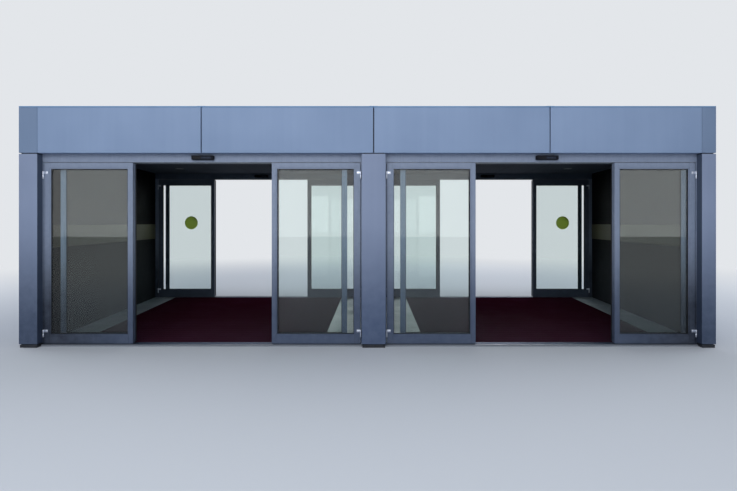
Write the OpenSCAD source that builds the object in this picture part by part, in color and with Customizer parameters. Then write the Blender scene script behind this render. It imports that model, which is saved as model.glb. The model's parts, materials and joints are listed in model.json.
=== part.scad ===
// Entrance vestibule with two automatic sliding door bays, one screen at the front and one at the back.
// X runs to the right along the front, Y runs into the building, Z is up, sizes are in millimetres.
// The origin is on the ground, at the middle of the plan.

/* [Overall] */
// Distance from the middle of the front to the outer face of the left-hand pier
left_w = 4312; // [3890:1:4800]
// How much nearer the middle the inner face of the right-hand pier stands
right_trim = 100; // [0:5:115]
// Depth from the front face of the piers to the back face
depth = 4200; // [3600:10:5400]
// Clear height from the lobby floor to the soffit under the fascia
soffit_h = 2350; // [2250:10:2700]
// Height of the fascia, with its coping
fascia_h = 570; // [500:10:800]
// How far each side wall runs outwards in every metre of depth
wall_splay = 70; // [0:5:110]

/* [Floor] */
// Thickness of the stone floor
floor_t = 20; // [18:1:40]
// Thickness of the entrance mats, which lie in pockets in the floor
mat_t = 14; // [8:1:16]
// Clearance round each mat in its pocket
mat_gap = 2; // [1:1:5]
// Width of the stone strip between a side wall and the mat
border_w = 410; // [200:10:600]
// Width of the stone strip between the two mats
middle_strip_w = 1280; // [800:10:1600]
// Depth of the metal threshold under each door screen
threshold_d = 112; // [105:1:130]
// Thickness of the metal threshold
threshold_t = 6; // [3:1:10]
// How far the floor reaches in front of the front door screen
nosing = 30; // [10:1:60]

/* [Piers and walls] */
// Width of the left-hand pier
left_pier_w = 224; // [160:2:300]
// Width of the right-hand pier
right_pier_w = 172; // [150:2:300]
// Width of the middle pier
centre_pier_w = 290; // [240:10:400]
// Depth of the piers
pier_d = 300; // [290:10:400]
// Thickness of the pier cladding
clad_t = 20; // [10:1:30]
// Height of the recessed foot below the pier cladding, above the floor
foot_h = 26; // [10:1:60]
// Shadow joint between the pier cladding and the fascia
head_joint = 12; // [3:1:15]
// Thickness of the side walls, with their lining
wall_t = 62; // [50:1:110]
// Distance from the outer face of the left-hand pier in to the outer face of the wall behind it
wall_set = 110; // [70:1:130]
// Thickness of the wall lining
lining_t = 12; // [8:1:20]
// Height of the pale band on the lining
band_h = 290; // [100:10:400]
// Height of the lower edge of the pale band above the floor
band_z = 1180; // [900:10:1300]
// Thickness of the pale band
band_t = 6; // [3:1:10]

/* [Fascia and roof] */
// Thickness of the fascia panels
fascia_t = 40; // [20:1:50]
// How far the open joint in the left-hand half of the fascia is from the middle of its doorway
left_joint_set = -20; // [-60:1:60]
// How far the open joint in the right-hand half of the fascia is from the middle of its doorway
right_joint_set = 28; // [-60:1:60]
// Width of the open joints between the fascia panels
open_joint = 13; // [4:1:20]
// Width of the tight joints beside the end panels of the fascia
tight_joint = 3; // [2:1:6]
// Thickness of the soffit panel
soffit_t = 10; // [6:1:20]
// Wall of the hollow beams over the door screens
beam_wall = 10; // [6:1:20]
// How much higher the lobby ceiling is than the soffit
ceiling_rise = 140; // [110:10:200]
// Thickness of the ceiling panel
ceiling_t = 20; // [12:1:25]
// Thickness of the roof deck
roof_t = 100; // [60:10:120]
// Height of the parapet above the roof deck
parapet_h = 120; // [60:10:140]
// Thickness of the coping
coping_t = 18; // [10:1:30]
// Width of the coping
coping_w = 120; // [100:10:160]
// Joint between two lengths of the coping
coping_joint = 4; // [2:1:8]
// Thickness of the cladding on the back beam
back_clad_t = 20; // [10:1:30]

/* [Downlights] */
// Diameter of the downlight rims
light_d = 150; // [100:5:200]
// How far the rims stand below the ceiling
light_t = 6; // [3:1:10]
// Distance of the downlights from the middle of their bay, along the front
light_dx = 1270; // [800:10:1400]
// Distance of the downlight rows from the middle of the lobby
light_dy = 950; // [500:10:1200]

/* [Door screens] */
// Distance from the pier face back to the front door screen
door_setback = 100; // [60:5:105]
// Distance from the hinge edge of a front side panel to its parked leaf
front_park = 168.5; // [140:0.5:300]
// Distance from the hinge edge of a back side panel to its parked leaf
back_park = 115.5; // [60:0.5:300]
// Width of the hinge jambs of the front screen
front_jamb = 12; // [12:1:60]
// Width of the hinge jambs of the back screen
back_jamb = 61; // [40:1:100]
// Depth of the hinge jambs
jamb_d = 60; // [45:1:90]
// Gap between a jamb and its side panel
hinge_gap = 6; // [5:1:10]
// Thickness of the side panels
panel_t = 45; // [40:1:50]
// Thickness of the sliding leaves
leaf_t = 40; // [38:1:46]
// Gap between a side panel and the sliding leaf behind it
leaf_gap = 15; // [8:1:18]
// How far a closed leaf still laps behind its side panel
leaf_lap = 75; // [50:1:90]
// Gap between the two closed leaves
meet_gap = 10; // [6:1:16]
// Gap between the floor and the side panels
floor_gap = 8; // [5:1:15]
// Gap between the header and the side panels
head_gap = 7; // [5:1:12]
// Width of the stile on the hinge side of a side panel
hinge_stile = 84; // [60:1:95]
// Width of the other stiles
stile = 67; // [50:1:80]
// Height of the top rails of the front screen
front_top_rail = 78; // [60:1:120]
// Height of the bottom rails of the front screen
front_bottom_rail = 120; // [90:1:180]
// Height of the top rails of the back screen
back_top_rail = 115; // [60:1:150]
// Height of the bottom rails of the back screen
back_bottom_rail = 149; // [90:1:180]
// Thickness of the glass
glass_t = 12; // [8:1:20]
// How deep the glass stands in the frame
rebate = 12; // [8:1:15]
// Width of the glazing bead round the glass
bead_w = 14; // [8:1:20]
// How far the glazing bead is set back from the face of the frame
bead_set = 6; // [2:1:10]

/* [Door drives] */
// Height of the headers that hold the door drives
front_header_h = 100; // [80:5:110]
// Height of the headers of the back screen
back_header_h = 110; // [80:5:140]
// Depth of the headers
header_d = 180; // [160:5:185]
// Width of the running slot under a header
slot_w = 24; // [16:1:30]
// Depth of the running slot
slot_h = 30; // [15:1:50]
// Width of the motion sensors
sensor_w = 270; // [200:5:320]
// Height of the motion sensors
sensor_h = 52; // [40:1:75]
// Depth of the motion sensors
sensor_d = 46; // [30:1:55]
// Radius of the corners of the motion sensors
sensor_r = 18; // [4:1:18]
// How far the motion sensors stand to the right of the middle of their doorways
sensor_set = 16; // [-40:1:40]

/* [Hinges] */
// Height of each hinge
hinge_h = 88; // [60:2:120]
// Radius of the hinge knuckle
knuckle_r = 10; // [6:0.5:12]
// Radius of the hinge pin
pin_r = 3.5; // [2.5:0.5:4.5]
// Clearance between the pin and its bore
pin_gap = 0.3; // [0.2:0.1:0.6]
// Width of the hinge flaps on the side panels
flap_w = 46; // [24:1:60]
// Height of the hinge flaps on the side panels
flap_h = 32; // [20:1:36]
// Width of the hinge flaps on the jambs
jamb_flap_w = 8; // [6:0.5:9]
// Thickness of each hinge flap
flap_t = 4; // [2:0.5:5]
// Gap between the knuckle and the faces behind it
knuckle_gap = 2; // [1:0.5:3]
// Gap between the two halves of a hinge
hinge_split = 2; // [1:0.5:4]
// Height of the lower hinges above the foot of a side panel
hinge_foot = 84; // [40:1:200]
// Distance from the head of a side panel down to its upper hinge
hinge_head = 110; // [40:1:200]

/* [Leaf guides] */
// Length of the guides that steady a sliding leaf behind its side panel
guide_l = 44; // [30:1:60]
// Thickness of the guide plate
guide_t = 6; // [4:1:8]
// Clearance of the guides
guide_gap = 5; // [5:0.5:7]
// Thickness of the guide tongue
tongue_t = 10; // [6:1:12]
// Height of the guide tongue
tongue_h = 16; // [10:1:24]

/* [Hidden] */

$fn = 48;
cut = 1; // how far a cutting shape runs past the face that it cuts
metre = 1000;

// Colours of the preview
cladding_colour = "slategray";
frame_colour = "lightslategray";
lining_colour = "dimgray";
metal_colour = "silver";
glass_colour = [0.6, 0.75, 0.8, 0.4];

// Places along Y
front_y = -depth / 2;
back_y = depth / 2;
pier_back_y = front_y + pier_d;
front_screen_y = front_y + door_setback;
back_screen_y = back_y - back_clad_t - header_d;
floor_front_y = front_screen_y - nosing;

// Heights
soffit_z = floor_t + soffit_h;
ceiling_z = soffit_z + ceiling_rise;
top_z = soffit_z + fascia_h;
wall_top_z = top_z - coping_t;
roof_z = top_z - parapet_h - roof_t;

// Distances from the middle, on the left-hand and on the right-hand side
LEFT = 0;
RIGHT = 1;
side_pier_x = [left_w - left_pier_w, left_w - left_pier_w - right_trim];
half_w = [left_w, side_pier_x[RIGHT] + right_pier_w];
pier_face_x = centre_pier_w / 2;
mat_in_x = middle_strip_w / 2;

// The two door screens, each a list of its own sizes
FRONT = 0;
BACK = 1;
screen_y = [front_screen_y, back_screen_y];
park = [front_park, back_park];
jamb_w = [front_jamb, back_jamb];
header_h = [front_header_h, back_header_h];
top_rail = [front_top_rail, back_top_rail];
bottom_rail = [front_bottom_rail, back_bottom_rail];
header_top_z = [soffit_z, ceiling_z];
bay_out_x = [side_pier_x, [for (side = [LEFT, RIGHT]) wall_x(back_screen_y)]];

// X of the inner face of the right side wall at a place along Y
function wall_x(y) = left_w - wall_set - wall_t + wall_splay * (y - pier_back_y) / metre;

// The left-hand bay sets the doorways of both bays
function bay_w(s) = bay_out_x[s][LEFT] - pier_face_x;
function bay_mid_x(s) = (bay_out_x[s][LEFT] + pier_face_x) / 2;
function header_z(s) = header_top_z[s] - header_h[s];
function panel_top_z(s) = header_z(s) - head_gap;
// Half a bay holds a jamb, a side panel and the part of the closed leaf that isn't behind the panel
function leaf_w(s) = (bay_w(s) / 2 - jamb_w[s] - hinge_gap - park[s] + leaf_lap - meet_gap / 2) / 2;
function leaf_travel(s) = leaf_w(s) - leaf_lap;

// The four packs of a side panel and its leaf are numbered from left to right
function pack_side(i) = i % 2 == 1 ? 1 : -1;
function pack_edge_x(s, i) = [
    -bay_out_x[s][LEFT] + jamb_w[s] + hinge_gap,
    -pier_face_x - jamb_w[s] - hinge_gap,
    pier_face_x + jamb_w[s] + hinge_gap,
    bay_out_x[s][RIGHT] - jamb_w[s] - hinge_gap
][i - 1];
// The last side panel takes up what its bay is narrower
function panel_w(s, i) = park[s] + leaf_w(s) - (i == 4 ? bay_out_x[s][LEFT] - bay_out_x[s][RIGHT] : 0);

// Puts a pack, drawn with its hinge edge at X = 0, into its place in a screen
module pack(s, i) {
    translate([pack_edge_x(s, i), screen_y[s], 0])
        mirror([pack_side(i) == 1 ? 0 : 1, 0, 0])
            children();
}

// Puts a right-hand shape on one side
module on_side(side) {
    mirror([side == LEFT ? 1 : 0, 0, 0]) children();
}

// Draws a right-hand shape and its mirror image on the left
module both_sides() {
    for (side = [LEFT, RIGHT]) on_side(side) children();
}

// Box from its two corners
module block(low, high) {
    translate(low) cube(high - low);
}

// Plan of a strip beside the right wall, from y0 to y1, between two distances inside the wall face
module wall_strip(y0, y1, far, near) {
    polygon([
        [wall_x(y0) - near, y0], [wall_x(y0) - far, y0],
        [wall_x(y1) - far, y1], [wall_x(y1) - near, y1]
    ]);
}

// Lobby plan between two places along Y, up to a distance inside both side wall faces
module lobby_plan(y0, y1, inset) {
    x0 = wall_x(y0) - inset;
    x1 = wall_x(y1) - inset;
    polygon([[-x0, y0], [x0, y0], [x1, y1], [-x1, y1]]);
}

// Plan of the right-hand mat; gap is taken off all round
module mat_plan(gap) {
    y0 = front_screen_y + threshold_d + gap;
    y1 = back_screen_y - gap;
    polygon([
        [mat_in_x + gap, y0], [wall_x(y0) - border_w - gap, y0],
        [wall_x(y1) - border_w - gap, y1], [mat_in_x + gap, y1]
    ]);
}

// Plan of a piece that runs out from x0 to the pier or to the wall, from y0 to y1, on the right
module bay_plan(s, side, x0, y0, y1) {
    out = s == FRONT ? [side_pier_x[side], side_pier_x[side]] : [wall_x(y0), wall_x(y1)];
    polygon([[x0, y0], [out[0], y0], [out[1], y1], [x0, y1]]);
}

// Thresholds of both bays of a screen, side by side
module threshold_plans(s) {
    y0 = screen_y[s];
    y1 = y0 + threshold_d;
    for (side = [LEFT, RIGHT])
        on_side(side) bay_plan(s, side, pier_face_x, y0, y1);
}

module floor_slab() {
    color("gray")
    difference() {
        linear_extrude(floor_t) {
            lobby_plan(pier_back_y, back_y, -lining_t);
            translate([-side_pier_x[LEFT], floor_front_y])
                square([side_pier_x[LEFT] + side_pier_x[RIGHT], pier_back_y - floor_front_y]);
        }
        block([-pier_face_x, front_y, -cut], [pier_face_x, pier_back_y, floor_t + cut]);
        block([-pier_face_x, back_screen_y, -cut], [pier_face_x, back_y + cut, floor_t + cut]);
        translate([0, 0, floor_t - mat_t])
            linear_extrude(mat_t + cut) both_sides() mat_plan(0);
        for (s = [FRONT, BACK])
            translate([0, 0, floor_t - threshold_t])
                linear_extrude(threshold_t + cut) threshold_plans(s);
    }
}

module entrance_mats() {
    color("maroon")
    translate([0, 0, floor_t - mat_t])
        linear_extrude(mat_t) both_sides() mat_plan(mat_gap);
}

module thresholds() {
    color(metal_colour)
    for (s = [FRONT, BACK])
        translate([0, 0, floor_t - threshold_t])
            linear_extrude(threshold_t) threshold_plans(s);
}

// Hollow cladding of a pier, from x0 to x1, open at its foot and its head
module pier_cladding(x0, x1) {
    z0 = floor_t + foot_h;
    z1 = soffit_z - head_joint;
    color(cladding_colour)
    difference() {
        block([x0, front_y, z0], [x1, pier_back_y, z1]);
        block([x0 + clad_t, front_y + clad_t, z0 - cut], [x1 - clad_t, pier_back_y - clad_t, z1 + cut]);
    }
}

module pier_left() {
    pier_cladding(-half_w[LEFT], -side_pier_x[LEFT]);
}

module pier_centre() {
    pier_cladding(-pier_face_x, pier_face_x);
}

module pier_right() {
    pier_cladding(side_pier_x[RIGHT], half_w[RIGHT]);
}

// Steel box post that fills the cladding of a pier and carries the beam
module pier_post(x0, x1) {
    low = [x0 + clad_t, front_y + clad_t, 0];
    high = [x1 - clad_t, pier_back_y - clad_t, soffit_z];
    difference() {
        block(low, high);
        block(low + [beam_wall, beam_wall, -cut], high + [-beam_wall, -beam_wall, cut]);
    }
}

module pier_posts() {
    color("black") {
        pier_post(-half_w[LEFT], -side_pier_x[LEFT]);
        pier_post(-pier_face_x, pier_face_x);
        pier_post(side_pier_x[RIGHT], half_w[RIGHT]);
    }
}

// Right side wall without its lining, drawn from the ground to the coping
module side_wall() {
    color(cladding_colour)
    linear_extrude(wall_top_z) wall_strip(pier_back_y, back_y, -wall_t, -lining_t);
}

module side_wall_left() {
    mirror([1, 0, 0]) side_wall();
}

module side_wall_right() {
    side_wall();
}

module wall_linings() {
    color(lining_colour)
    translate([0, 0, floor_t])
        linear_extrude(ceiling_z - floor_t)
            both_sides() wall_strip(pier_back_y, back_y, -lining_t, 0);
}

module wall_bands() {
    color("tan")
    translate([0, 0, floor_t + band_z])
        linear_extrude(band_h)
            both_sides() wall_strip(pier_back_y, back_screen_y, 0, band_t);
}

module back_post() {
    color(cladding_colour)
    block([-pier_face_x, back_screen_y, 0], [pier_face_x, back_y, ceiling_z]);
}

// Two L-shaped corner panels and four flat panels, with open joints between them
module fascia_panels() {
    joint_set = [left_joint_set, right_joint_set];
    back = pier_back_y;
    color(cladding_colour)
    translate([0, 0, soffit_z])
        linear_extrude(wall_top_z - soffit_z)
            for (side = [LEFT, RIGHT])
                on_side(side) {
                    mid_x = bay_mid_x(FRONT) + joint_set[side];
                    end_x = half_w[side];
                    in_x = side_pier_x[side] + tight_joint / 2;
                    translate([open_joint / 2, front_y]) square([mid_x - open_joint, fascia_t]);
                    translate([mid_x + open_joint / 2, front_y])
                        square([in_x - tight_joint - mid_x - open_joint / 2, fascia_t]);
                    polygon([
                        [in_x, front_y], [end_x, front_y], [end_x, back], [end_x - fascia_t, back],
                        [end_x - fascia_t, front_y + fascia_t], [in_x, front_y + fascia_t]
                    ]);
                }
}

// Hollow beam from one corner to another, with its wall on all sides
module box_beam(low, high) {
    wall = [beam_wall, beam_wall, beam_wall];
    difference() {
        block(low, high);
        block(low + wall, high - wall);
    }
}

// Ends of the front beam and of the soffit, inside the corner panels of the fascia
beam_x = [fascia_t - half_w[LEFT], half_w[RIGHT] - fascia_t];

module front_beam() {
    color("dimgray")
    box_beam([beam_x[0], front_y + fascia_t, soffit_z + soffit_t], [beam_x[1], pier_back_y, wall_top_z]);
}

module soffit() {
    color(cladding_colour)
    block([beam_x[0], front_y + fascia_t, soffit_z], [beam_x[1], pier_back_y, soffit_z + soffit_t]);
}

module ceiling() {
    color("darkslategray")
    translate([0, 0, ceiling_z])
        linear_extrude(ceiling_t) lobby_plan(pier_back_y, back_y - back_clad_t, -lining_t);
}

module downlights() {
    color("white")
    for (side = [-1, 1], dx = [-light_dx, light_dx], dy = [-light_dy, light_dy])
        translate([side * bay_mid_x(BACK) + dx, dy, ceiling_z - light_t])
            cylinder(h = light_t, d = light_d);
}

// Hollow beam over the back screen, whose ends follow the side walls
module back_beam() {
    y0 = back_screen_y;
    y1 = back_y - back_clad_t;
    z0 = ceiling_z + ceiling_t;
    color("dimgray")
    difference() {
        translate([0, 0, z0]) linear_extrude(wall_top_z - z0) lobby_plan(y0, y1, -lining_t);
        translate([0, 0, z0 + beam_wall])
            linear_extrude(wall_top_z - z0 - 2 * beam_wall)
                lobby_plan(y0 + beam_wall, y1 - beam_wall, beam_wall - lining_t);
    }
}

// Four panels over the back screen, with open joints between them
module back_cladding() {
    y0 = back_y - back_clad_t;
    color(cladding_colour)
    translate([0, 0, ceiling_z])
        linear_extrude(wall_top_z - ceiling_z)
            difference() {
                lobby_plan(y0, back_y, -lining_t);
                for (x = [-bay_mid_x(BACK), 0, bay_mid_x(BACK)])
                    translate([x - open_joint / 2, y0 - cut]) square([open_joint, back_clad_t + 2 * cut]);
            }
}

module roof_deck() {
    color("gray")
    translate([0, 0, roof_z])
        linear_extrude(roof_t) lobby_plan(pier_back_y, back_screen_y, -lining_t);
}

// Four lengths of coping, on the fascia, on the two side walls and on the back beam
module coping() {
    inner = coping_w - wall_t;
    color(cladding_colour)
    translate([0, 0, wall_top_z])
        linear_extrude(coping_t) {
            translate([-half_w[LEFT], front_y]) square([half_w[LEFT] + half_w[RIGHT], pier_d]);
            both_sides() wall_strip(pier_back_y + coping_joint, back_y, -wall_t, inner);
            lobby_plan(back_y - coping_w, back_y, inner + coping_joint);
        }
}

// One header of a screen, with the running slot in its underside
module header(s, side) {
    y0 = screen_y[s];
    y1 = y0 + header_d;
    leaf_mid_y = y0 + panel_t + leaf_gap + leaf_t / 2;
    difference() {
        translate([0, 0, header_z(s)])
            linear_extrude(header_h[s]) bay_plan(s, side, pier_face_x, y0, y1);
        block([pier_face_x + jamb_w[s], leaf_mid_y - slot_w / 2, header_z(s) - cut],
              [bay_out_x[s][side] - jamb_w[s], leaf_mid_y + slot_w / 2, header_z(s) + slot_h]);
    }
}

module front_headers() {
    color(frame_colour)
    for (side = [LEFT, RIGHT]) on_side(side) header(FRONT, side);
}

module back_headers() {
    color(frame_colour)
    for (side = [LEFT, RIGHT]) on_side(side) header(BACK, side);
}

// One sensor over each doorway, on the front of its header
module motion_sensors() {
    color("black")
    for (s = [FRONT, BACK], bay = [-1, 1])
        translate([bay * bay_mid_x(s) + sensor_set, screen_y[s], header_z(s) + header_h[s] / 2])
            rotate([90, 0, 0])
                linear_extrude(sensor_d) {
                    square([sensor_w - 2 * sensor_r, sensor_h], center = true);
                    square([sensor_w, sensor_h - 2 * sensor_r], center = true);
                    for (x = [-1, 1], z = [-1, 1])
                        translate([x * (sensor_w / 2 - sensor_r), z * (sensor_h / 2 - sensor_r)])
                            circle(r = sensor_r);
                }
}

// Jambs that carry the hinges, from the floor to the header
module door_jambs() {
    color(frame_colour)
    for (s = [FRONT, BACK], side = [LEFT, RIGHT])
        translate([0, 0, floor_t])
            linear_extrude(header_z(s) - floor_t)
                on_side(side) {
                    translate([pier_face_x, screen_y[s]]) square([jamb_w[s], jamb_d]);
                    bay_plan(s, side, bay_out_x[s][side] - jamb_w[s], screen_y[s], screen_y[s] + jamb_d);
                }
}

// Places of the lower ends of the two hinges of a pack
function hinge_zs(s) = [
    floor_t + floor_gap + hinge_foot,
    panel_top_z(s) - hinge_head - hinge_h
];
hinge_y = -knuckle_r - knuckle_gap;

// Knuckle of height h, with its neck and with a flap of width w that starts at height z,
// for the side of the pin axis towards +X
module hinge_half(w, z, h) {
    back = knuckle_r + knuckle_gap;
    cylinder(h = h, r = knuckle_r);
    block([hinge_gap / 2, 0, z], [knuckle_r, back, h]);
    block([hinge_gap / 2, back - flap_t, z], [hinge_gap / 2 + w, back, h]);
}

// Upper halves of both hinges of a pack, bored for the pins; they turn with the side panel
module hinge_tops(s) {
    h = (hinge_h - hinge_split) / 2;
    for (z = hinge_zs(s))
        translate([-hinge_gap / 2, hinge_y, z + hinge_h - h])
            difference() {
                hinge_half(flap_w, h - flap_h, h);
                translate([0, 0, -cut]) cylinder(h = h + 2 * cut, r = pin_r + pin_gap);
            }
}

// Lower halves of both hinges of a pack with their pins; they stay on the jamb
module hinge_bottoms(s) {
    h = (hinge_h - hinge_split) / 2;
    for (z = hinge_zs(s))
        translate([-hinge_gap / 2, hinge_y, z]) {
            mirror([1, 0, 0]) hinge_half(jamb_flap_w, 0, h);
            cylinder(h = hinge_h, r = pin_r);
        }
}

module door_hinges() {
    color(metal_colour)
    for (s = [FRONT, BACK], i = [1:4])
        pack(s, i) hinge_bottoms(s);
}

// Heights of the glass that shows in a screen
function glass_z0(s) = floor_t + floor_gap + bottom_rail[s];
function glass_z1(s) = panel_top_z(s) - top_rail[s];

// Frame round one sheet of glass, from z0 to z1, with stiles of width left and right
module framed(s, w, t, z0, z1, left, right) {
    low = [left, -cut, glass_z0(s)];
    high = [w - right, t + cut, glass_z1(s)];
    difference() {
        block([0, 0, z0], [w, t, z1]);
        block(low, high);
        for (face = [[-cut, bead_set], [t - bead_set, t + cut]])
            block([left - bead_w, face[0], low[2] - bead_w],
                  [w - right + bead_w, face[1], high[2] + bead_w]);
        pane(s, w, t, left, right);
    }
}

// Sheet of glass that stands in the grooves of a frame
module pane(s, w, t, left, right) {
    block([left - rebate, (t - glass_t) / 2, glass_z0(s) - rebate],
          [w - right + rebate, (t + glass_t) / 2, glass_z1(s) + rebate]);
}

// Guides on the back of a side panel of width w, one at its foot and one at its head
module leaf_guides(s, w) {
    x1 = w - (leaf_lap - guide_l) / 2;
    x0 = x1 - guide_l;
    mid_y = panel_t + leaf_gap + leaf_t / 2;
    z0 = floor_t + floor_gap;
    z1 = panel_top_z(s);
    for (span = [[z0, z0 + guide_t, z0 + guide_t + tongue_h], [z1, z1 - guide_t, z1 - guide_t - tongue_h]]) {
        plate = [min(span[0], span[1]), max(span[0], span[1])];
        tongue = [min(span[0], span[2]), max(span[0], span[2])];
        block([x0, panel_t - cut, plate[0]], [x1, mid_y + tongue_t / 2, plate[1]]);
        block([x0, mid_y - tongue_t / 2, tongue[0]], [x1, mid_y + tongue_t / 2, tongue[1]]);
    }
}

// Side panel with the turning halves of its hinges and the guides for its leaf
module side_panel(s, i) {
    w = panel_w(s, i);
    pack(s, i) {
        framed(s, w, panel_t, floor_t + floor_gap, panel_top_z(s), hinge_stile, stile);
        hinge_tops(s);
        leaf_guides(s, w);
    }
}

module side_panel_glass(s, i) {
    pack(s, i) pane(s, panel_w(s, i), panel_t, hinge_stile, stile);
}

// Puts a leaf, drawn from its trailing edge at X = 0, behind its side panel
module leaf_place(s, i) {
    pack(s, i) translate([panel_w(s, i) - leaf_w(s), panel_t + leaf_gap, 0]) children();
}

// Sliding leaf, grooved along its foot and its head for the guides
module leaf(s, i) {
    w = leaf_w(s);
    z0 = floor_t + floor_gap + guide_t + guide_gap;
    z1 = panel_top_z(s) - guide_t - guide_gap;
    groove = tongue_t + 2 * guide_gap;
    leaf_place(s, i)
    difference() {
        framed(s, w, leaf_t, z0, z1, stile, stile);
        for (z = [z0, z1])
            block([-cut, (leaf_t - groove) / 2, z - tongue_h],
                  [w + cut, (leaf_t + groove) / 2, z + tongue_h]);
    }
}

module leaf_glass(s, i) {
    leaf_place(s, i) pane(s, leaf_w(s), leaf_t, stile, stile);
}

module front_panel(i) {
    color(frame_colour) side_panel(FRONT, i);
}

module front_panel_glass(i) {
    color(glass_colour) side_panel_glass(FRONT, i);
}

module front_leaf(i) {
    color(frame_colour) leaf(FRONT, i);
}

module front_leaf_glass(i) {
    color(glass_colour) leaf_glass(FRONT, i);
}

module back_panel(i) {
    color(frame_colour) side_panel(BACK, i);
}

module back_panel_glass(i) {
    color(glass_colour) side_panel_glass(BACK, i);
}

module back_leaf(i) {
    color(frame_colour) leaf(BACK, i);
}

module back_leaf_glass(i) {
    color(glass_colour) leaf_glass(BACK, i);
}

floor_slab();
entrance_mats();
thresholds();
pier_left();
pier_centre();
pier_right();
pier_posts();
side_wall_left();
side_wall_right();
wall_linings();
wall_bands();
back_post();
fascia_panels();
front_beam();
soffit();
ceiling();
downlights();
back_beam();
back_cladding();
roof_deck();
coping();
front_headers();
back_headers();
motion_sensors();
door_jambs();
door_hinges();
for (i = [1:4]) {
    front_panel(i);
    front_panel_glass(i);
    front_leaf(i);
    front_leaf_glass(i);
    back_panel(i);
    back_panel_glass(i);
    back_leaf(i);
    back_leaf_glass(i);
}
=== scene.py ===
import json
import math

import bmesh
import bpy
from mathutils import Matrix, Vector


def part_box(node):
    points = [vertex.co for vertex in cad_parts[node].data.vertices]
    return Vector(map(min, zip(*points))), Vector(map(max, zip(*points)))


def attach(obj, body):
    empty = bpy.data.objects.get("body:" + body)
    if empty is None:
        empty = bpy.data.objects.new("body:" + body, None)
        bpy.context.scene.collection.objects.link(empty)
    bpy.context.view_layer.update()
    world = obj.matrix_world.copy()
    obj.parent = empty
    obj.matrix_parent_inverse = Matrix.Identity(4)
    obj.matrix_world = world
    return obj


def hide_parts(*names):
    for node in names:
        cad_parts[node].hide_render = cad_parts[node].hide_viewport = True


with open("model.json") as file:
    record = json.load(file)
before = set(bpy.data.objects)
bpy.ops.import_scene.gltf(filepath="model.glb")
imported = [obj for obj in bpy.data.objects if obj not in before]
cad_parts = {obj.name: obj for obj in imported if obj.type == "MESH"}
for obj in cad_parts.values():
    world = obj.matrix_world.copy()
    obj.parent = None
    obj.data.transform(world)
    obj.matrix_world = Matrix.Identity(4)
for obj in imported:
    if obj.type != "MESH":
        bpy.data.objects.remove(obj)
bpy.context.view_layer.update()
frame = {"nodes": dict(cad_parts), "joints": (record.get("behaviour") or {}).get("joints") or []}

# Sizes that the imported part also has, in metres
WALL_SLOPE = 0.07       # each side wall runs outwards by this much in a metre of depth
WALL_T = 0.062
LINING_T = 0.012
BAND_T = 0.006
FASCIA_T = 0.040
OPEN_JOINT = 0.013
TIGHT_JOINT = 0.003
JOINT_SET = {-1: -0.020, 1: 0.028}  # fascia joints, outwards from the middle of their doorways
CLAD_T = 0.020
FOOT_H = 0.026          # recessed foot of the cladding, above the floor
COPING_W = 0.120
COPING_JOINT = 0.004
BORDER_W = 0.410        # stone strip between a side wall and its mat
MIDDLE_STRIP = 1.280    # stone strip between the two mats
MAT_GAP = 0.002
TREAD_D = 0.112
LIGHT_R = 0.075
LIGHT_DX = 1.27         # downlights, from the middle of their bay
SENSOR_W = 0.270
SENSOR_H = 0.052
SENSOR_D = 0.046
SENSOR_SET = 0.016      # to the right of the middle of each doorway
HEADER_H = {"front": 0.100, "back": 0.110}
HEADER_D = 0.180
JAMB_W = {"front": 0.012, "back": 0.061}
HINGE_GAP = 0.006
HINGE_SET = 0.012       # from the face of a side panel out to the pins
HINGE_H = 0.088
HINGE_SPLIT = 0.002
KNUCKLE_R = 0.010
FLAP_T = 0.004
FLAP_W = 0.046
FLAP_H = 0.032
JAMB_FLAP_W = 0.008
HINGE_FOOT = 0.084
HINGE_HEAD = 0.110
PANEL_T = 0.045
LEAF_T = 0.040
LEAF_GAP = 0.015
LEAF_LAP = 0.075
REBATE = 0.012
BEAD_W = 0.014
BEAD_SET = 0.006
GUIDE_L = 0.044
GUIDE_T = 0.006
GUIDE_GAP = 0.005
TONGUE_T = 0.010
TONGUE_H = 0.016
SLOT_W = 0.024

# Sizes that only the visible pieces have, in metres
FOLD_R = 0.003          # folded edges of sheet
TRIM_R = 0.001          # edges of small fittings
SEAM = 0.001            # half of a closed joint between two lengths
SHOE_SET = 0.008        # from the face of a pier in to the steel shoe at its foot
SHOE_H = 0.036
RIB_PITCH = 0.040       # ribs of the mats

SIDES = (-1, 1)         # left and right
SCREENS = ("front", "back")
PACKS = (1, 2, 3, 4)


# Colours and materials

# Sockets of a Mix node: the share of its second input, then both inputs as numbers and as colours
SHARE, NUMBER_A, NUMBER_B, COLOUR_A, COLOUR_B = 0, 2, 3, 6, 7


def linear(code):
    """Turns an sRGB hex value to linear red, green, blue and alpha."""
    channels = [int(code[i:i + 2], 16) / 255 for i in (1, 3, 5)]
    return tuple(c / 12.92 if c <= 0.04045 else ((c + 0.055) / 1.055) ** 2.4 for c in channels) + (1.0,)


def feed(tree, socket, value):
    """Links a socket to an output or a node's first output in use, or sets it to a value or hex colour."""
    if isinstance(value, bpy.types.Node):
        value = next(output for output in value.outputs if output.enabled)
    if isinstance(value, bpy.types.NodeSocket):
        tree.links.new(value, socket)
    else:
        socket.default_value = linear(value) if isinstance(value, str) else value


def add(tree, kind, sockets=None, **settings):
    """Adds a node with its settings and feeds its sockets."""
    made = tree.nodes.new("ShaderNode" + kind)
    for key, value in settings.items():
        setattr(made, key, value)
    for key, value in (sockets or {}).items():
        feed(tree, made.inputs[key], value)
    return made


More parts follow.
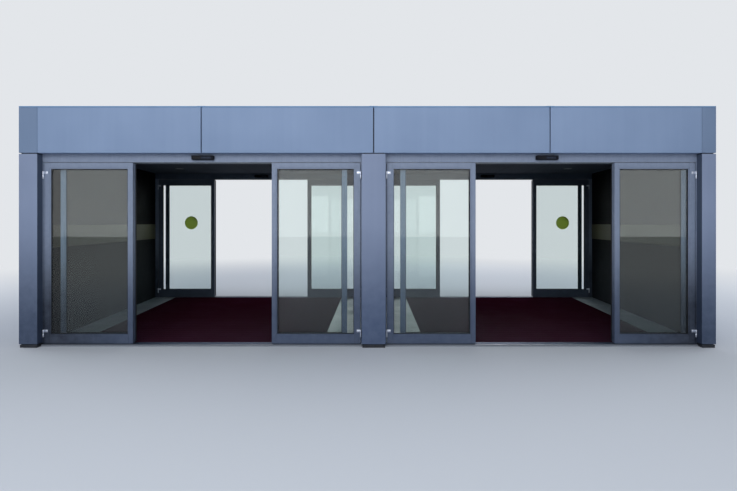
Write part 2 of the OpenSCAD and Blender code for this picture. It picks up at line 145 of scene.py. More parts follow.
def begin(name, colour, roughness, **sockets):
    """Starts a material and gives it, its node tree, its shader and the place on the object."""
    made = bpy.data.materials.new(name)
    made.use_nodes = True
    tree = made.node_tree
    shader = tree.nodes["Principled BSDF"]
    for key, value in {"Base_Color": colour, "Roughness": roughness, **sockets}.items():
        feed(tree, shader.inputs[key.replace("_", " ")], value)
    return made, tree, shader, add(tree, "TexCoord").outputs["Object"]


def patterned(tree, first, second, pattern, low=0.0, high=1.0, most=1.0):
    """Blends a colour into a second, whose share grows to its most as a pattern rises from low to high."""
    share = add(tree, "MapRange", {"Value": pattern, "From Min": low, "From Max": high, "To Max": most})
    return add(tree, "Mix", {SHARE: share, COLOUR_A: first, COLOUR_B: second}, data_type="RGBA")


def dress(tree, shader, colour, gloss=None, relief=None):
    """Gives a shader its colour; gloss is a pattern with the roughness where it is 0.3 and where it is 0.7,
    and relief is a pattern with the strength and the depth in metres of its bump."""
    feed(tree, shader.inputs["Base Color"], colour)
    if gloss:
        pattern, smooth, rough = gloss
        feed(tree, shader.inputs["Roughness"],
             add(tree, "MapRange", {"Value": pattern, "From Min": 0.3, "From Max": 0.7, "To Min": smooth,
                                    "To Max": rough}))
    if relief:
        pattern, strength, depth = relief
        feed(tree, shader.inputs["Normal"],
             add(tree, "Bump", {"Height": pattern, "Strength": strength, "Distance": depth}))


def dusted_and_shaded(tree, place, clean, foot_dust_and_shade, corner_shadow, foot_z, head_z, most):
    """Blends a finish into road dust and painted shade near its foot: most at foot_z and below, none above
    head_z.
    """
    parts = add(tree, "SeparateXYZ", {0: place}).outputs
    # Painted shadow: the foot colour turns darker towards the outer ends, from 2.9 m to 3.9 m from the middle
    far = add(tree, "Math", {0: parts["X"]}, operation="ABSOLUTE")
    foot_tone = patterned(tree, foot_dust_and_shade, corner_shadow, far, 2.9, 3.9)
    low = add(tree, "MapRange", {"Value": parts["Z"], "From Min": foot_z, "From Max": head_z,
                                 "To Min": most, "To Max": 0.0}, interpolation_type="SMOOTHSTEP")
    # The dust and painted shade lie a little unevenly, in patches about 100 mm across
    patches = add(tree, "TexNoise", {"Vector": place, "Scale": 9.0, "Detail": 5.0, "Roughness": 0.6})
    uneven = add(tree, "MapRange", {"Value": patches, "From Min": 0.3, "From Max": 0.7, "To Min": 0.92,
                                    "To Max": 1.08})
    share = add(tree, "Math", {0: low, 1: uneven}, operation="MULTIPLY")
    return patterned(tree, clean, foot_tone, share)


def powder_coated_sheet(name, light, dark, foot_dust_and_shade, corner_shadow=None, roughness=0.6, most=0.88):
    """Polyester powder coat on folded aluminium sheet: satin, and a little clouded where the sheet bows."""
    made, tree, shader, place = begin(name, light, roughness, Specular_IOR_Level=0.22)
    # Slow clouding, over about 0.7 m, as between the sheet's fixings
    clouds = add(tree, "TexNoise", {"Vector": place, "Scale": 1.4})
    # Faint rain streaks about 60 mm wide that run down the sheet
    tall = add(tree, "Mapping", {"Vector": place, "Scale": (16.0, 16.0, 0.5)})
    streaks = add(tree, "TexNoise", {"Vector": tall, "Scale": 1.0, "Detail": 3.0})
    both = add(tree, "Mix", {SHARE: 0.22, NUMBER_A: clouds, NUMBER_B: streaks})
    tone = patterned(tree, light, dark, both, 0.30, 0.70)
    # Painted shade with road dust: the coat turns darker towards its foot and towards the outer ends
    foot_shaded = dusted_and_shaded(tree, place, tone, foot_dust_and_shade, corner_shadow or foot_dust_and_shade, 0.10, 1.80, most)
    # Orange peel of the coat is finer than a pixel, so it is drawn coarser and flatter, 12 mm apart
    peel = add(tree, "TexNoise", {"Vector": place, "Scale": 85.0, "Detail": 1.0})
    surface = add(tree, "Mix", {SHARE: 0.06, NUMBER_A: clouds, NUMBER_B: peel})
    dress(tree, shader, foot_shaded, (streaks, roughness - 0.03, roughness + 0.05), (surface, 0.15, 0.01))
    return made


def anodised_profile(name, light, dark, foot_dust_and_shade, corner_shadow, roughness=0.46):
    """Anodised aluminium profile: drawn lines along it, a cool sheen and slight handling marks."""
    made, tree, shader, place = begin(name, light, roughness, Metallic=0.05, Specular_IOR_Level=0.25)
    # Lines of the die, about 3 mm apart, drawn upwards on the rails as well
    drawn = add(tree, "Mapping", {"Vector": place, "Scale": (330.0, 330.0, 2.0)})
    lines = add(tree, "TexNoise", {"Vector": drawn, "Scale": 1.0})
    # Handling marks, about 60 mm across
    marks = add(tree, "TexNoise", {"Vector": place, "Scale": 16.0, "Detail": 5.0, "Roughness": 0.7})
    both = add(tree, "Mix", {SHARE: 0.5, NUMBER_A: lines, NUMBER_B: marks})
    tone = patterned(tree, light, dark, both, 0.38, 0.64)
    # Painted shade with road dust: the profile turns darker towards its foot and towards the outer ends
    shaded = dusted_and_shaded(tree, place, tone, foot_dust_and_shade, corner_shadow, 0.35, 1.50, 0.90)
    dress(tree, shader, shaded, (marks, roughness - 0.05, roughness + 0.12), (lines, 0.08, 0.001))
    return made


def primed_steel():
    """Zinc-primed structural steel, dark and matt, seen only in the joints."""
    made, tree, shader, place = begin("zinc_primed_steel", "#1d2025", 0.62, Metallic=0.2)
    spots = add(tree, "TexNoise", {"Vector": place, "Scale": 35.0, "Detail": 6.0, "Roughness": 0.7})
    tone = patterned(tree, "#11151c", "#1f2530", spots, 0.4, 0.7)
    dress(tree, shader, tone, relief=(spots, 0.2, 0.001))
    return made


def lining_laminate():
    """High-pressure laminate on the inner walls: near black, satin, with upright joints 1.23 m apart."""
    made, tree, shader, place = begin("high_pressure_laminate", "#101112", 0.55, Specular_IOR_Level=0.02)
    half_board = 0.615
    parts = add(tree, "SeparateXYZ", {0: place}).outputs
    along = add(tree, "Math", {0: parts["Y"], 1: half_board}, operation="ADD")
    near = add(tree, "Math", {0: along, 1: half_board}, operation="PINGPONG")
    line = add(tree, "MapRange", {"Value": near, "From Min": 0.0015, "From Max": 0.003})
    smudge = add(tree, "TexNoise", {"Vector": place, "Scale": 5.0, "Detail": 6.0, "Roughness": 0.7})
    tone = patterned(tree, "#08090a", "#0d0e0f", smudge)
    dusty = dusted_and_shaded(tree, place, tone, "#212428", "#212428", 0.40, 1.60, 0.9)
    dress(tree, shader, patterned(tree, "#050506", dusty, line), (smudge, 0.48, 0.64), (line, 0.6, 0.002))
    return made


def grained_pvc(name, light, dark, roughness=0.5):
    """Extruded PVC with a pebble grain: soft sheen, scuffed along its length."""
    made, tree, shader, place = begin(name, light, roughness, Specular_IOR_Level=0.15)
    long_way = add(tree, "Mapping", {"Vector": place, "Scale": (3.0, 3.0, 60.0)})
    scuffs = add(tree, "TexNoise", {"Vector": long_way, "Scale": 1.0, "Detail": 6.0, "Roughness": 0.75})
    # Pebbles of the grain, drawn 5 mm across
    grain = add(tree, "TexVoronoi", {"Vector": place, "Scale": 200.0})
    dress(tree, shader, patterned(tree, light, dark, scuffs, 0.42, 0.7), relief=(grain, 0.15, 0.001))
    return made


def ceiling_trays():
    """Powder-coated steel ceiling trays, dark and matt, 600 mm wide with shadow joints between them."""
    made, tree, shader, place = begin("coated_steel_ceiling_tray", "#3a3e47", 0.85, Specular_IOR_Level=0.05)
    half_tray = 0.3
    parts = add(tree, "SeparateXYZ", {0: place}).outputs
    lines = []
    for axis in ("X", "Y"):
        near = add(tree, "Math", {0: parts[axis], 1: half_tray}, operation="PINGPONG")
        lines.append(add(tree, "MapRange", {"Value": near, "From Min": 0.002, "From Max": 0.004}))
    both = add(tree, "Math", {0: lines[0], 1: lines[1]}, operation="MINIMUM")
    dust = add(tree, "TexNoise", {"Vector": place, "Scale": 3.0, "Detail": 5.0})
    tone = patterned(tree, "#40454e", "#4b505b", dust)
    dress(tree, shader, patterned(tree, "#08090a", tone, both), relief=(both, 0.5, 0.003))
    return made


def honed_granite():
    """Honed grey granite slabs, 600 mm long: crystals of three greys, fine mortar joints, worn sheen."""
    made, tree, shader, place = begin("honed_granite", "#5c5f64", 0.45)
    half_slab = 0.3
    # Crystals about 4 mm and 11 mm across
    fine = add(tree, "TexVoronoi", {"Vector": place, "Scale": 260.0})
    coarse = add(tree, "TexNoise", {"Vector": place, "Scale": 90.0, "Detail": 4.0, "Roughness": 0.8})
    crystal = patterned(tree, "#525861", "#7a8089", fine.outputs["Color"])
    stone = patterned(tree, crystal, "#686e78", coarse, 0.35, 0.65)
    parts = add(tree, "SeparateXYZ", {0: place}).outputs
    near = add(tree, "Math", {0: parts["Y"], 1: half_slab}, operation="PINGPONG")
    line = add(tree, "MapRange", {"Value": near, "From Min": 0.0015, "From Max": 0.0025})
    worn = add(tree, "TexNoise", {"Vector": place, "Scale": 2.5, "Detail": 4.0})
    dress(tree, shader, patterned(tree, "#2c2d2f", stone, line), (worn, 0.34, 0.58), (line, 0.7, 0.002))
    return made


def needled_carpet():
    """Needle-punched polypropylene strips of a mat: burgundy, matt, with stray fibres, trodden dust and a
    painted sheen of light by the front doors.
    """
    made, tree, shader, place = begin("needle_punched_polypropylene", "#2c0a16", 0.95,
                                      Specular_IOR_Level=0.0)
    fibre_way = add(tree, "Mapping", {"Vector": place, "Scale": (90.0, 420.0, 420.0)})
    fibres = add(tree, "TexNoise", {"Vector": fibre_way, "Scale": 1.0, "Detail": 5.0, "Roughness": 0.75})
    tone = patterned(tree, "#1c050c", "#330c19", fibres, 0.35, 0.68)
    # The pile leans one way and then the other, in stripes 60 mm wide
    parts = add(tree, "SeparateXYZ", {0: place}).outputs
    lean = add(tree, "Math", {0: parts["Y"], 1: 0.06}, operation="PINGPONG")
    striped = patterned(tree, tone, "#4b263e", lean, 0.02, 0.04, 0.22)
    trodden = add(tree, "TexNoise", {"Vector": place, "Scale": 1.7, "Detail": 6.0, "Roughness": 0.65})
    dust = add(tree, "MapRange", {"Value": trodden, "From Min": 0.45, "From Max": 0.8, "To Max": 0.15})
    # Painted light from the front doorways, as a purple-grey sheen: paler by the front doors, fading out over
    # 1.6 m
    doorway_light = add(tree, "MapRange", {"Value": parts["Y"], "From Min": -1.8, "From Max": -0.2,
                                      "To Min": 0.16, "To Max": 0.0})
    # Random trodden dust and the painted light by the doors share the purple-grey colour
    most = add(tree, "Math", {0: dust, 1: doorway_light}, operation="ADD")
    dress(tree, shader, patterned(tree, striped, "#4a3349", most), relief=(fibres, 0.6, 0.003))
    return made


def brushed_metal(name, light, dark, roughness, along=(6.0, 500.0, 500.0)):
    """Brushed or mill-finished metal: fine lines along one way."""
    made, tree, shader, place = begin(name, light, roughness, Metallic=1.0)
    brushed = add(tree, "Mapping", {"Vector": place, "Scale": along})
    lines = add(tree, "TexNoise", {"Vector": brushed, "Scale": 1.0, "Detail": 3.0})
    tone = patterned(tree, light, dark, lines, 0.35, 0.65)
    dress(tree, shader, tone, (lines, roughness - 0.06, roughness + 0.1))
    return made


def rubber(name, light, dark, roughness=0.6):
    """EPDM rubber: black with a grey bloom, matt."""
    made, tree, shader, place = begin(name, light, roughness, Specular_IOR_Level=0.2)
    bloom = add(tree, "TexNoise", {"Vector": place, "Scale": 40.0, "Detail": 6.0, "Roughness": 0.7})
    dress(tree, shader, patterned(tree, light, dark, bloom, 0.4, 0.75), relief=(bloom, 0.15, 0.001))
    return made


def brush_pile():
    """Nylon brush of a door seal: upright black bristles."""
    made, tree, shader, place = begin("nylon_brush_pile", "#131416", 0.8, Sheen_Weight=0.2)
    upwards = add(tree, "Mapping", {"Vector": place, "Scale": (700.0, 700.0, 20.0)})
    bristles = add(tree, "TexNoise", {"Vector": upwards, "Scale": 1.0})
    dress(tree, shader, patterned(tree, "#0a0b0c", "#2a2c30", bristles), relief=(bristles, 0.6, 0.002))
    return made


def moulded_plastic(name, colour, roughness, gloss_level):
    """Injection-moulded plastic: a fine spark grain and an even colour."""
    made, tree, shader, place = begin(name, colour, roughness, Specular_IOR_Level=gloss_level)
    grain = add(tree, "TexNoise", {"Vector": place, "Scale": 500.0})
    dress(tree, shader, colour, (grain, roughness * 0.85, roughness * 1.2), (grain, 0.1, 0.0005))
    return made


def frosted_diffuser():
    """Frosted acrylic diffuser of a downlight, dimmed by day: an even warm grey."""
    made, tree, shader, place = begin("frosted_acrylic_diffuser", "#707278", 0.6, Emission_Color="#ffefcf",
                                      Emission_Strength=0.01)
    mottle = add(tree, "TexNoise", {"Vector": place, "Scale": 30.0})
    dress(tree, shader, patterned(tree, "#6c6e74", "#777a80", mottle))
    return made


def roofing_membrane():
    """Single-ply PVC roofing membrane: pale grey, matt, with washed dust and ponding stains."""
    made, tree, shader, place = begin("single_ply_pvc_membrane", "#84888c", 0.7)
    ponds = add(tree, "TexNoise", {"Vector": place, "Scale": 0.8, "Detail": 5.0})
    grit = add(tree, "TexNoise", {"Vector": place, "Scale": 60.0, "Detail": 4.0})
    tone = patterned(tree, "#8e9296", "#7f8386", ponds, 0.38, 0.66)
    dress(tree, shader, patterned(tree, tone, "#595a58", grit, 0.6, 0.75, 0.5), relief=(ponds, 0.1, 0.02))
    return made


def float_glass():
    """Clear laminated float glass: polished, hardly tinted; lamplight goes straight through it."""
    made, tree, shader, place = begin("laminated_float_glass", "#f1f6f5", 0.0, Transmission_Weight=1.0,
                                      IOR=1.33)
    path = add(tree, "LightPath").outputs
    straight = add(tree, "Math", {0: path["Is Shadow Ray"], 1: path["Is Diffuse Ray"]}, operation="MAXIMUM")
    # Wiping leaves faint clouds about half a metre across in what passes
    wiped = add(tree, "TexNoise", {"Vector": place, "Scale": 2.0, "Detail": 3.0})
    passed = add(tree, "BsdfTransparent", {"Color": patterned(tree, "#eef5f3", "#e6efed", wiped)})
    mixed = add(tree, "MixShader", {0: straight, 1: shader, 2: passed})
    feed(tree, tree.nodes["Material Output"].inputs["Surface"], mixed)
    return made


def sticker_vinyl():
    """Translucent vinyl film on the glass: olive green, smooth; light from behind shines through it."""
    made, tree, shader, place = begin("translucent_vinyl_film", "#aac246", 0.45, Transmission_Weight=0.55)
    worn = add(tree, "TexNoise", {"Vector": place, "Scale": 22.0, "Detail": 5.0})
    dress(tree, shader, patterned(tree, "#a8be46", "#bace58", worn))
    return made


# The third colour of each coat and profile below is its foot colour, road dust with painted shade; the fourth
# is a painted shadow at the outer ends
cladding = powder_coated_sheet("powder_coated_aluminium_sheet", "#8599b8", "#7d91b0", "#3e4e6d")
# Painted shade: the corner trays get a darker copy of the fascia's coat
shaded_corner_cladding = powder_coated_sheet("powder_coated_aluminium_corner_painted_shade", "#7487a3", "#6c7f9b", "#3e4e6d")
pier_cladding = powder_coated_sheet("powder_coated_aluminium_pier", "#828fa9", "#7a87a1", "#3b4a66",
                                    "#2b384e")
wall_cladding = powder_coated_sheet("powder_coated_aluminium_side", "#8599b8", "#7d91b0", "#4d5e7e",
                                    most=0.55)
# Painted shade: a darker copy of the pier coat for the pier faces beside the doors
shaded_pier_return = powder_coated_sheet("powder_coated_aluminium_return_painted_shade", "#4b576c", "#444f63", "#252f43")
coping_metal = powder_coated_sheet("powder_coated_aluminium_coping", "#6a8eb5", "#6286ac", "#5b7292",
                                   roughness=0.50)
profile = anodised_profile("anodised_aluminium_profile", "#7f8ba1", "#737f94", "#3a465d", "#181f2d")
# Painted shade: the back screen, the back post and the back headers get a darker copy of the front profile
shaded_back_profile = anodised_profile("anodised_aluminium_back_profile_painted_shade", "#566173", "#4d5767", "#343d4f",
                                "#2c3443")
# Painted light: a pale copy of the profile for the plates under the front headers, lit as if by the pale ground
lit_cover_profile = anodised_profile("anodised_aluminium_cover_painted_light", "#c3ccda", "#b7c1d1", "#3a465d", "#181f2d")
steel = primed_steel()
laminate = lining_laminate()
band_pvc = grained_pvc("grained_pvc_board", "#535039", "#484531")
trays = ceiling_trays()
granite = honed_granite()
carpet = needled_carpet()
scraper = brushed_metal("mill_finished_aluminium_bar", "#232428", "#1a1b1e", 0.6)
tread_metal = brushed_metal("ribbed_aluminium_tread", "#56627a", "#475369", 0.42)
stainless = brushed_metal("satin_stainless_steel", "#c4cbd9", "#aab1bf", 0.40, (500.0, 500.0, 10.0))
gasket = rubber("epdm_rubber_gasket", "#101113", "#1d1f22")
brush = brush_pile()
abs_black = moulded_plastic("abs_plastic_black", "#0a0d16", 0.55, 0.08)
smoked = moulded_plastic("smoked_acrylic_window", "#080a12", 0.3, 0.12)
grille_plastic = moulded_plastic("abs_plastic_grey", "#3a4354", 0.5, 0.12)
rim_plastic = moulded_plastic("polycarbonate_grey", "#5c5e63", 0.5, 0.1)
diffuser = frosted_diffuser()
membrane = roofing_membrane()
glass = float_glass()
vinyl = sticker_vinyl()
screen_finish = {"front": profile, "back": shaded_back_profile}


# Mesh helpers

def meeting(verts, kind):
    """Gives each face or edge that meets at some vertices, once; kind is link_faces or link_edges."""
    return list(dict.fromkeys(item for vert in verts for item in getattr(vert, kind)))


def round_edges(bm, edges, radius, segments=1):
    """Rounds edges of a mesh."""
    if radius > 0 and edges:
        bmesh.ops.bevel(bm, geom=edges, offset=radius, offset_type="OFFSET", affect="EDGES",
                        segments=segments, profile=0.5, material=-1, clamp_overlap=True)


def block(bm, low, high):
    """Adds a sharp-edged block between two corners and gives its vertices."""
    corners = bmesh.ops.create_cube(bm, size=1.0)["verts"]
    bmesh.ops.scale(bm, vec=high - low, verts=corners)
    bmesh.ops.translate(bm, vec=(low + high) / 2, verts=corners)
    return corners


def box(bm, xs, ys, zs, radius=0.0, segments=1, shape=None, finish=0, pick=None):
    """Adds a box from its two ends along each axis; shape turns or shears it, and pick chooses which edges
    are rounded."""
    low, high = (Vector([end(ends) for ends in (xs, ys, zs)]) for end in (min, max))
    corners = block(bm, low, high)
    for face in meeting(corners, "link_faces"):
        face.material_index = finish
    chosen = [edge for edge in meeting(corners, "link_edges") if pick is None or pick(edge)]
    if shape is not None:
        bmesh.ops.transform(bm, matrix=shape, verts=corners)
    round_edges(bm, chosen, radius, segments)


def upright(edge):
    """True for an edge that runs straight up."""
    way = edge.verts[1].co - edge.verts[0].co
    return abs(way.z) > 0.99 * way.length


def folded_casing(low, high, radius, segments, wall, shaded=None):
    """Starts a mesh with a casing of folded sheet, open at its foot and head; the faces that shaded picks get
    the second finish, a painted shade."""
    bm = bmesh.new()
    block(bm, low, high)
    ends = [face for face in bm.faces if abs(face.normal.z) > 0.5]
    bmesh.ops.delete(bm, geom=ends, context="FACES_ONLY")
    for face in bm.faces:
        face.material_index = 1 if shaded and shaded(face) else 0
    round_edges(bm, [edge for edge in bm.edges if upright(edge)], radius, segments)
    bmesh.ops.recalc_face_normals(bm, faces=bm.faces)
    bmesh.ops.solidify(bm, geom=bm.faces, thickness=wall)
    return bm


def rod(bm, start, end, radius, end_radius=None, rim=0.0, segments=24, finish=0):
    """Adds a round bar or a cone from one point to another, with its rims rounded."""
    start, end = Vector(start), Vector(end)
    way = end - start
    turn = way.to_track_quat("Z", "Y").to_matrix().to_4x4()
    made = bmesh.ops.create_cone(bm, cap_ends=True, segments=segments, radius1=radius,
                                 radius2=radius if end_radius is None else end_radius, depth=way.length,
                                 matrix=Matrix.Translation((start + end) / 2) @ turn)["verts"]
    faces = meeting(made, "link_faces")
    for face in faces:
        face.material_index = finish
    caps = [face for face in faces if len(face.verts) > 4]
    round_edges(bm, list(dict.fromkeys(edge for cap in caps for edge in cap.edges)), rim, 2)


def bar(bm, outline, x0, x1, radius):
    """Adds a bar that keeps one outline, a list of (y, z), along X."""
    corners = [bm.verts.new((x0, y, z)) for y, z in outline]
    moved = bmesh.ops.extrude_face_region(bm, geom=[bm.faces.new(corners)])["geom"]
    ends = [item for item in moved if isinstance(item, bmesh.types.BMVert)]
    bmesh.ops.translate(bm, vec=(x1 - x0, 0, 0), verts=ends)
    round_edges(bm, meeting(corners + ends, "link_edges"), radius)


def ring(bm, xs, ys, zs, width, radius):
    """Adds a flat ring round an opening in a screen, width wide inwards from the opening's edge."""
    (x0, x1), (z0, z1) = xs, zs
    inner_z = (z0 + width, z1 - width)
    for ring_xs, ring_zs in ((xs, (z0, z0 + width)), (xs, (z1 - width, z1)),
                             ((x0, x0 + width), inner_z), ((x1 - width, x1), inner_z)):
        box(bm, ring_xs, ys, ring_zs, radius)


def piece(name, bm, finishes, body, replaces=()):
    """Makes a finished piece from a mesh: faces outwards, soft over roundings, riding on its body."""
    bmesh.ops.recalc_face_normals(bm, faces=bm.faces)
    for face in bm.faces:
        face.smooth = True
    for edge in bm.edges:
        edge.smooth = edge.calc_face_angle(math.pi) < math.radians(38)
    mesh = bpy.data.meshes.new(name)
    bm.to_mesh(mesh)
    bm.free()
    for finish in finishes:
        mesh.materials.append(finish)
    made = bpy.data.objects.new(name, mesh)
    bpy.context.scene.collection.objects.link(made)
    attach(made, body)
    if replaces:
        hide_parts(*replaces)


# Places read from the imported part

fascia_low, fascia_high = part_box("fascia_panels")
wall_low, wall_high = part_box("side_wall_right")
coping_low, coping_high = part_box("coping")
floor_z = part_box("floor_slab")[1].z
pier_back_y = wall_low.y
back_y = wall_high.y
front_y = fascia_low.y
wall_face_x = wall_low.x - LINING_T
wall_outer_x = wall_face_x + WALL_T
side_pier_x = {-1: -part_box("pier_left")[1].x, 1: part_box("pier_right")[0].x}
half_w = {-1: -fascia_low.x, 1: fascia_high.x}
pier_face_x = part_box("pier_centre")[1].x
doorway_x = {name: -(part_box(f"{name}_leaf_1")[1].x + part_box(f"{name}_leaf_2")[0].x) / 2 for name in SCREENS}
fascia_joint_x = {side: doorway_x["front"] + JOINT_SET[side] for side in SIDES}
hinges = {joint["child"]: Vector(joint["pos_m"]) for joint in frame["joints"] if joint["type"] == "hinge"}


def wall_x(y):
    """X of the inner face of the right side wall."""
    return wall_face_x + WALL_SLOPE * (y - pier_back_y)


def along_wall(side):
    """Shears a shape drawn straight along Y so that it follows a side wall; side is 1 on the right."""
    sheared = Matrix.Identity(4)
    sheared[0][1] = side * WALL_SLOPE
    sheared[0][3] = -side * WALL_SLOPE * pier_back_y
    return sheared


def outwards(side, x0, x1):
    """Turns two distances from the middle to X on one side."""
    return side * x0, side * x1


# Finishes of the pieces that stay as packed

carried_over = {
    "floor_slab": granite, "wall_linings": laminate, "back_post": shaded_back_profile, "soffit": cladding,
    "ceiling": trays, "roof_deck": membrane, "front_headers": profile, "back_headers": shaded_back_profile,
    "door_jambs": profile, "pier_posts": steel, "front_beam": steel, "back_beam": steel,
}
for name in SCREENS:
    for i in PACKS:
        carried_over[f"{name}_panel_glass_{i}"] = glass
        carried_over[f"{name}_leaf_glass_{i}"] = glass
for node, finish in carried_over.items():
    frame["nodes"][node].data.materials.clear()
    frame["nodes"][node].data.materials.append(finish)


# Cladding

# Fascia: flat trays and two corner trays, with folded edges
TOUCH = 1e-5    # nearer than this, two faces lie in one plane
fascia_back_y = front_y + FASCIA_T
bm = bmesh.new()
for side in SIDES:
    inner_x = side_pier_x[side] + TIGHT_JOINT / 2
    joint_x = fascia_joint_x[side]
    for x0, x1 in ((OPEN_JOINT / 2, joint_x - OPEN_JOINT / 2),
                   (joint_x + OPEN_JOINT / 2, inner_x - TIGHT_JOINT)):
        box(bm, outwards(side, x0, x1), (front_y, fascia_back_y), (fascia_low.z, fascia_high.z), FOLD_R, 3)
    # Corner tray: a front part whose outer end is extruded back along the side
    before = set(bm.verts)
    low_x, high_x = sorted(outwards(side, inner_x, half_w[side]))
    corners = block(bm, Vector((low_x, front_y, fascia_low.z)),
                    Vector((high_x, fascia_back_y, fascia_high.z)))
    faces = meeting(corners, "link_faces")
    for face in faces:
        face.material_index = 1
    bmesh.ops.bisect_plane(bm, geom=corners + meeting(corners, "link_edges") + faces, plane_no=(1, 0, 0),
                           plane_co=(side * (half_w[side] - FASCIA_T), 0, 0))
    fresh = [vert for vert in bm.verts if vert not in before]
    rear = [face for face in meeting(fresh, "link_faces")
            if face.calc_center_median().y > fascia_back_y - TOUCH
            and abs(face.calc_center_median().x) > half_w[side] - FASCIA_T]
    moved = bmesh.ops.extrude_face_region(bm, geom=rear)["geom"]
    bmesh.ops.delete(bm, geom=rear, context="FACES")
    bmesh.ops.translate(bm, vec=(0, pier_back_y - fascia_back_y, 0),
                        verts=[item for item in moved if isinstance(item, bmesh.types.BMVert)])
    fresh = [vert for vert in bm.verts if vert not in before]
    sharp = [edge for edge in meeting(fresh, "link_edges") if edge.calc_face_angle(0) > math.radians(60)]
    round_edges(bm, sharp, FOLD_R, 3)
piece("fascia_trays", bm, [cladding, shaded_corner_cladding], "lobby", ["fascia_panels"])


def beside_door(face):
    """True for a face of a pier beside a door, which gets the darker coat as painted shade of the recess."""
    return abs(face.normal.x) > 0.5 and abs(face.calc_center_median().x) < wall_face_x


# Piers: casings folded from sheet, each with a joint cover at the back and a dark steel shoe set back at its
# foot, which stands in for the shade in the recess there
CASING_R = 0.004
COVER_HALF = 0.02
for node in ("pier_left", "pier_centre", "pier_right"):
    low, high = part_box(node)
    middle_x = (low.x + high.x) / 2
    # The faces beside the doors get the darker coat, a painted shade of the recess
    bm = folded_casing(low, high, CASING_R, 3, CLAD_T, beside_door)
    box(bm, (middle_x - COVER_HALF, middle_x + COVER_HALF), (high.y - 0.0005, high.y + 0.002),
        (low.z + CASING_R, high.z - CASING_R), TRIM_R)
    piece(f"{node}_casing", bm, [pier_cladding, shaded_pier_return], "lobby", [node])
    # Painted shade: the dark shoe fills the recess at the foot so that it reads dark across the pier's full
    # width
    bm = folded_casing(Vector((low.x + SHOE_SET, low.y + SHOE_SET, 0)),
                       Vector((high.x - SHOE_SET, high.y - SHOE_SET, SHOE_H)), FOLD_R, 2,
                       CLAD_T - SHOE_SET - 0.0005)
    piece(f"{node}_shoe", bm, [steel], "lobby")

# Side walls: a dark core and two rows of four trays, with open joints in line with the fascia's foot
SKIN = 0.014        # depth of the trays
CORE_SET = 0.003    # from the ends of a wall in to its core
END_CASE_T = 0.004
COLUMNS = 4         # trays in a row
column_w = (back_y - pier_back_y) / COLUMNS
wall_foot_z = floor_z + FOOT_H
wall_rows = ((wall_foot_z, fascia_low.z - OPEN_JOINT / 2), (fascia_low.z + OPEN_JOINT / 2, wall_high.z))
for side, node in zip(SIDES, ("side_wall_left", "side_wall_right")):
    bm = bmesh.new()
    lean = along_wall(side)
    core_xs = outwards(side, wall_face_x + LINING_T, wall_outer_x - SKIN)
    box(bm, core_xs, (pier_back_y + CORE_SET, back_y - CORE_SET), (wall_low.z, wall_high.z), shape=lean,
        finish=1)
    for column in range(COLUMNS):
        y0 = pier_back_y + column * column_w + (OPEN_JOINT / 2 if column else 0)
        y1 = pier_back_y + (column + 1) * column_w - (OPEN_JOINT / 2 if column < COLUMNS - 1 else 0)
        for zs in wall_rows:
            box(bm, outwards(side, wall_outer_x - SKIN, wall_outer_x), (y0, y1), zs, FOLD_R, 2, lean)
    # Cases on the front and the back end of the wall
    for ys in ((pier_back_y, pier_back_y + END_CASE_T), (back_y - END_CASE_T, back_y)):
        box(bm, core_xs, ys, (wall_foot_z, wall_high.z), TRIM_R, shape=lean)
    piece(f"{node}_trays", bm, [wall_cladding, steel], "lobby", [node])

# Back cladding: four trays between the walls
low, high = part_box("back_cladding")
bm = bmesh.new()
for side in SIDES:
    for x0, x1 in ((OPEN_JOINT / 2, doorway_x["back"] - OPEN_JOINT / 2),
                   (doorway_x["back"] + OPEN_JOINT / 2, wall_x(low.y) + LINING_T)):
        box(bm, outwards(side, x0, x1), (low.y, high.y), (low.z, high.z), FOLD_R, 2)
piece("back_trays", bm, [cladding], "lobby", ["back_cladding"])

# Coping: pressed lengths with rounded edges, and a strap over each joint along a side
STRAP_T = 0.0015    # how far a strap stands above the coping
STRAP_HALF = 0.05
STRAP_R = 0.0007
coping_top = coping_high.z - STRAP_T
coping_zs = (coping_low.z, coping_top)
strap_zs = (coping_top - 0.004, coping_top + STRAP_T)
bm = bmesh.new()
ends_x = [-half_w[-1], -fascia_joint_x[-1], 0.0, fascia_joint_x[1], half_w[1]]
for x0, x1 in zip(ends_x, ends_x[1:]):
    xs = (x0 + (SEAM if x0 > -half_w[-1] else 0), x1 - (SEAM if x1 < half_w[1] else 0))
    box(bm, xs, (front_y, pier_back_y), coping_zs, FOLD_R, 2)
for x in ends_x[1:-1]:
    box(bm, (x - STRAP_HALF, x + STRAP_HALF), (front_y + SEAM, pier_back_y - SEAM), strap_zs, STRAP_R)
inner_w = COPING_W - WALL_T
for side in SIDES:
    lean = along_wall(side)
    y_start = pier_back_y + COPING_JOINT
    y_mid = (y_start + back_y) / 2
    x0, x1 = wall_face_x - inner_w, wall_outer_x
    for ys in ((y_start, y_mid - SEAM), (y_mid + SEAM, back_y)):
        box(bm, outwards(side, x0, x1), ys, coping_zs, FOLD_R, 2, lean)
    box(bm, outwards(side, x0 + SEAM, x1 - SEAM), (y_mid - STRAP_HALF, y_mid + STRAP_HALF), strap_zs,
        STRAP_R, shape=lean)
back_half = wall_x(back_y - COPING_W) - inner_w - COPING_JOINT
for xs in ((-back_half, -SEAM), (SEAM, back_half)):
    box(bm, xs, (back_y - COPING_W, back_y), coping_zs, FOLD_R, 2)
box(bm, (-STRAP_HALF, STRAP_HALF), (back_y - COPING_W + SEAM, back_y - SEAM), strap_zs, STRAP_R)
piece("coping_lengths", bm, [coping_metal], "lobby", ["coping"])


# Roof

